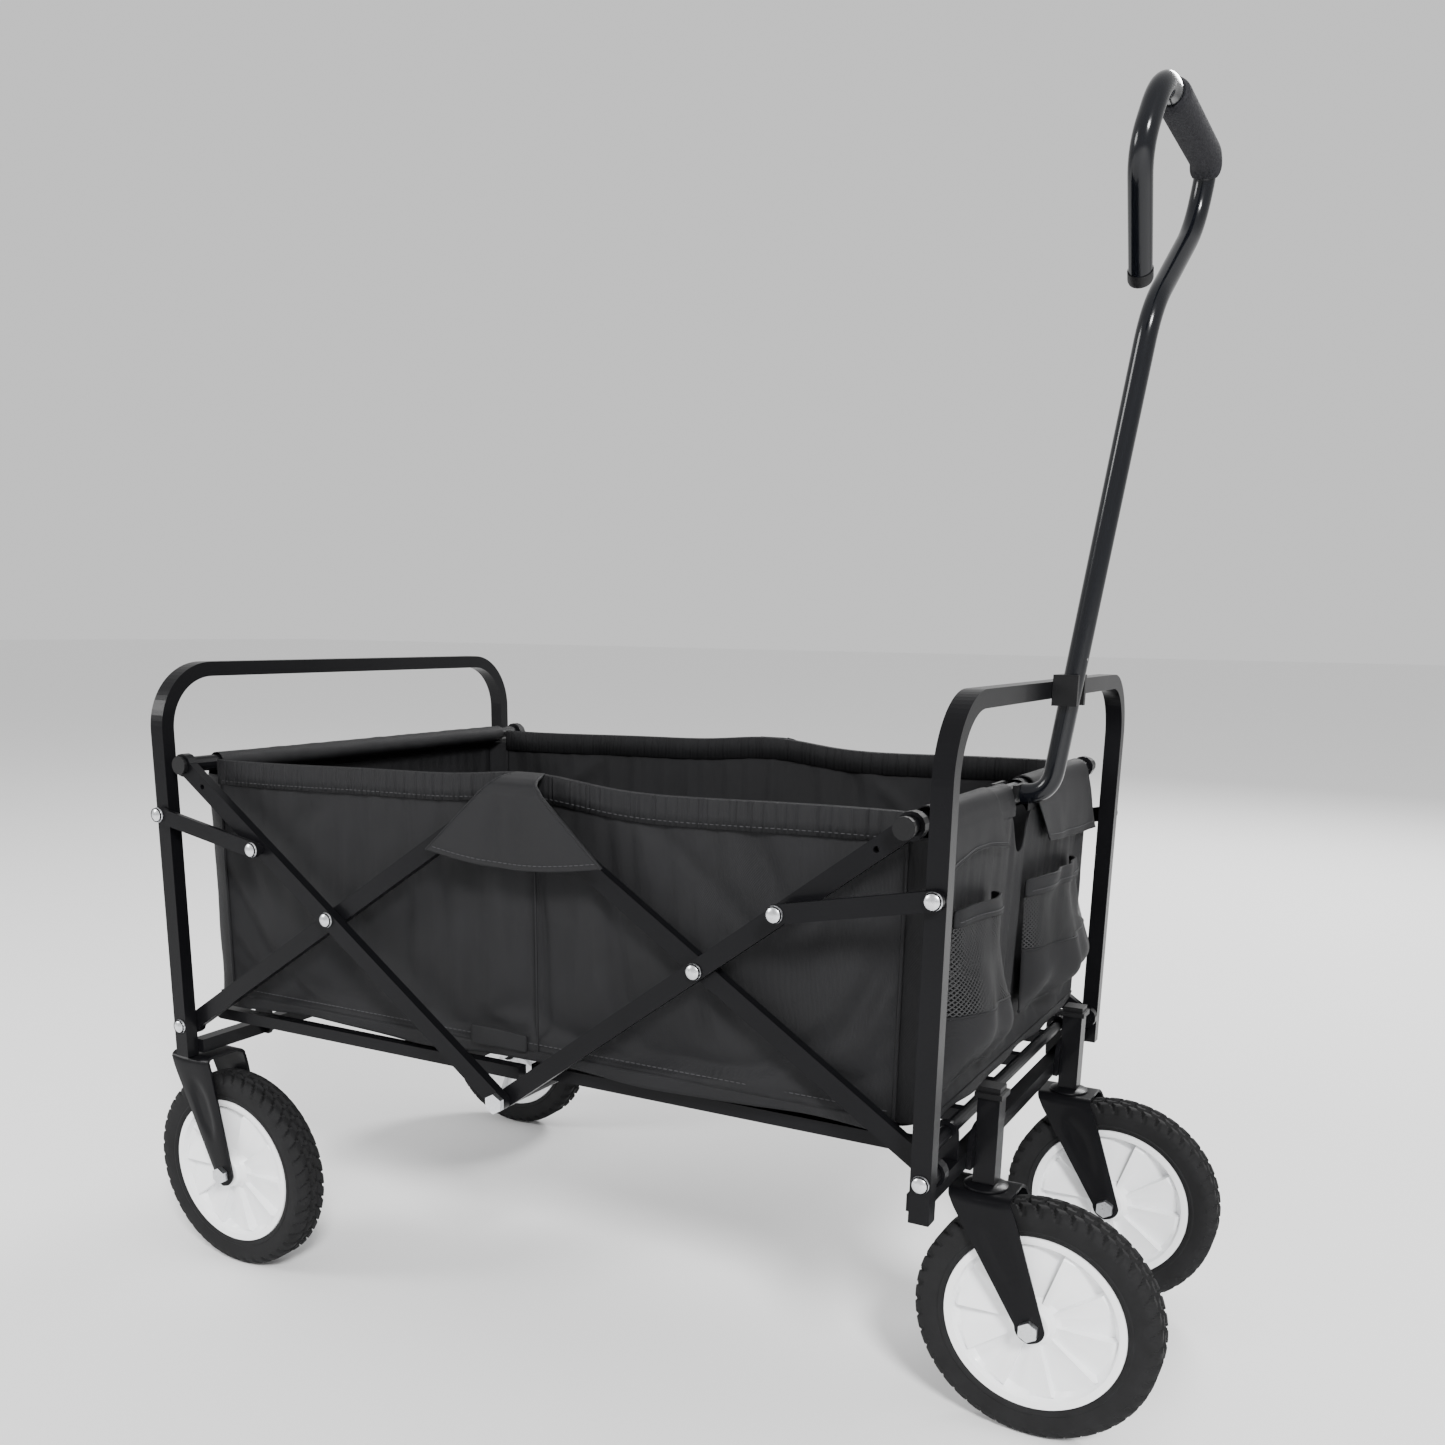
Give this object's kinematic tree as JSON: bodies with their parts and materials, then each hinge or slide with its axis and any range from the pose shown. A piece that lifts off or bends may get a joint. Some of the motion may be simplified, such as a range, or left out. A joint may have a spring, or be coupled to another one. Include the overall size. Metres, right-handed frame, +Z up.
{
  "type": "wagon with pull handle",
  "caption": "Folding utility wagon: a fabric tub hangs from crossed side arms between two tall end frames, on wheels, with an upright pull handle at its front.",
  "frame": {"origin": "on the ground, below the middle of the bounding box", "axes": "+X forward, towards the pull handle; +Y to the left of the wagon; +Z up"},
  "size_m": [0.8784, 0.4904, 0.897],
  "materials": {
    "black_steel": "semi-gloss powder coat",
    "gloss_black_steel": "glossy paint",
    "zinc": "bright zinc plate",
    "black_plastic": "fine matt moulding",
    "white_plastic": "satin moulding",
    "tyre_rubber": "matt rubber",
    "foam": "closed-cell foam",
    "fabric": "woven polyester",
    "floor_board": "stiff board in woven cover"
  },
  "bodies": {
    "rear_end": {"rear_frame": "black_steel", "rear_lower_crossbar": "black_steel", "rear_left_fork": "black_steel", "rear_left_axle_bolt": "zinc", "rear_right_fork": "black_steel", "rear_right_axle_bolt": "zinc", "tub_left_side": "fabric", "tub_right_side": "fabric", "tub_rear_end": "fabric"},
    "rear_leg_arms": {"rear_left_leg_arm": "black_steel", "rear_right_leg_arm": "black_steel"},
    "rear_rail_arms": {"rear_left_rail_arm": "black_steel", "rear_right_rail_arm": "black_steel", "rear_top_tube": "black_steel", "rear_left_tube_cap": "black_plastic", "rear_right_tube_cap": "black_plastic"},
    "front_rail_arms": {"front_left_rail_arm": "black_steel", "front_right_rail_arm": "black_steel", "front_top_tube": "black_steel", "front_left_tube_cap": "black_plastic", "front_right_tube_cap": "black_plastic", "left_middle_bolt": "zinc", "right_middle_bolt": "zinc", "middle_tube": "black_steel"},
    "front_leg_arms": {"front_left_leg_arm": "black_steel", "front_right_leg_arm": "black_steel"},
    "front_end": {"front_frame": "black_steel", "front_lower_crossbar": "black_steel", "left_caster_stem": "black_steel", "right_caster_stem": "black_steel", "left_stem_cap": "black_plastic", "right_stem_cap": "black_plastic", "handle_clip": "black_plastic", "tub_front_end": "fabric"},
    "rear_stays": {"rear_left_stay": "black_steel", "rear_right_stay": "black_steel"},
    "front_stays": {"front_left_stay": "black_steel", "front_right_stay": "black_steel"},
    "rear_floor": {"rear_floor_frame": "black_steel", "rear_floor_board": "floor_board"},
    "front_floor": {"front_floor_frame": "black_steel", "front_floor_board": "floor_board"},
    "handle": {"handle_tube": "gloss_black_steel", "handle_grip": "foam", "handle_saddle": "black_plastic"},
    "left_caster": {"front_left_fork": "black_steel", "front_left_axle_bolt": "zinc"},
    "rear_left_wheel": {"rear_left_rim": "white_plastic", "rear_left_tyre": "tyre_rubber"},
    "front_left_wheel": {"front_left_rim": "white_plastic", "front_left_tyre": "tyre_rubber"},
    "right_caster": {"front_right_fork": "black_steel", "front_right_axle_bolt": "zinc"},
    "rear_right_wheel": {"rear_right_rim": "white_plastic", "rear_right_tyre": "tyre_rubber"},
    "front_right_wheel": {"front_right_rim": "white_plastic", "front_right_tyre": "tyre_rubber"}
  },
  "joints": [
    {"name": "fold", "type": "hinge", "parent": "rear_end", "child": "rear_leg_arms", "pos_m": [-0.38375, 0, 0.2225], "axis": [0, -1, 0], "range_deg": [0, 43.62], "deforming": ["tub_left_side", "tub_right_side", "tub_front_end", "tub_rear_end"]},
    {"name": "rear_cross", "type": "hinge", "parent": "rear_leg_arms", "child": "rear_rail_arms", "pos_m": [-0.20875, 0, 0.33736], "axis": [0, -1, 0], "range_deg": [-88.75, 0]},
    {"name": "middle", "type": "hinge", "parent": "rear_rail_arms", "child": "front_rail_arms", "pos_m": [-0.04375, 0, 0.214], "axis": [0, -1, 0], "range_deg": [0, 85.24]},
    {"name": "front_cross", "type": "hinge", "parent": "front_rail_arms", "child": "front_leg_arms", "pos_m": [0.12125, 0, 0.33736], "axis": [0, -1, 0], "range_deg": [-88.75, 0]},
    {"name": "front_leg_pivot", "type": "hinge", "parent": "front_leg_arms", "child": "front_end", "pos_m": [0.29625, 0, 0.2225], "axis": [0, -1, 0], "range_deg": [0, 43.63]},
    {"name": "rear_stay_swing", "type": "hinge", "parent": "rear_end", "child": "rear_stays", "pos_m": [-0.38375, 0, 0.409], "axis": [0, -1, 0], "range_deg": [0, 81.75]},
    {"name": "front_stay_swing", "type": "hinge", "parent": "front_end", "child": "front_stays", "pos_m": [0.29625, 0, 0.409], "axis": [0, -1, 0], "range_deg": [-81.75, 0]},
    {"name": "rear_floor_swing", "type": "hinge", "parent": "rear_end", "child": "rear_floor", "pos_m": [-0.37175, 0, 0.228], "axis": [0, -1, 0], "range_deg": [0, 78.53]},
    {"name": "front_floor_swing", "type": "hinge", "parent": "front_end", "child": "front_floor", "pos_m": [0.28425, 0, 0.228], "axis": [0, -1, 0], "range_deg": [-78.53, 0]},
    {"name": "handle_swing", "type": "hinge", "parent": "front_end", "child": "handle", "pos_m": [0.27325, -0.013, 0.451], "axis": [0, 1, 0], "range_deg": [0, 115]},
    {"name": "left_caster_swivel", "type": "hinge", "parent": "front_end", "child": "left_caster", "pos_m": [0.30625, 0.12, 0.185], "axis": [0, 0, 1], "continuous": true},
    {"name": "front_left_spin", "type": "hinge", "parent": "left_caster", "child": "front_left_wheel", "pos_m": [0.35025, 0.12, 0.089], "axis": [0, 1, 0], "continuous": true},
    {"name": "rear_left_spin", "type": "hinge", "parent": "rear_end", "child": "rear_left_wheel", "pos_m": [-0.35025, 0.21, 0.089], "axis": [0, 1, 0], "continuous": true},
    {"name": "right_caster_swivel", "type": "hinge", "parent": "front_end", "child": "right_caster", "pos_m": [0.30625, -0.12, 0.185], "axis": [0, 0, 1], "continuous": true},
    {"name": "front_right_spin", "type": "hinge", "parent": "right_caster", "child": "front_right_wheel", "pos_m": [0.35025, -0.12, 0.089], "axis": [0, 1, 0], "continuous": true},
    {"name": "rear_right_spin", "type": "hinge", "parent": "rear_end", "child": "rear_right_wheel", "pos_m": [-0.35025, -0.21, 0.089], "axis": [0, 1, 0], "continuous": true}
  ],
  "couplings": [
    {"joint": "rear_cross", "follows": "fold", "ratio": -2.0343},
    {"joint": "middle", "follows": "fold", "ratio": 1.954},
    {"joint": "front_cross", "follows": "fold", "ratio": -2.0343},
    {"joint": "front_leg_pivot", "follows": "fold", "ratio": 1},
    {"joint": "rear_stay_swing", "follows": "fold", "ratio": 1.874},
    {"joint": "front_stay_swing", "follows": "fold", "ratio": -1.874},
    {"joint": "rear_floor_swing", "follows": "fold", "ratio": 1.8},
    {"joint": "front_floor_swing", "follows": "fold", "ratio": -1.8}
  ]
}
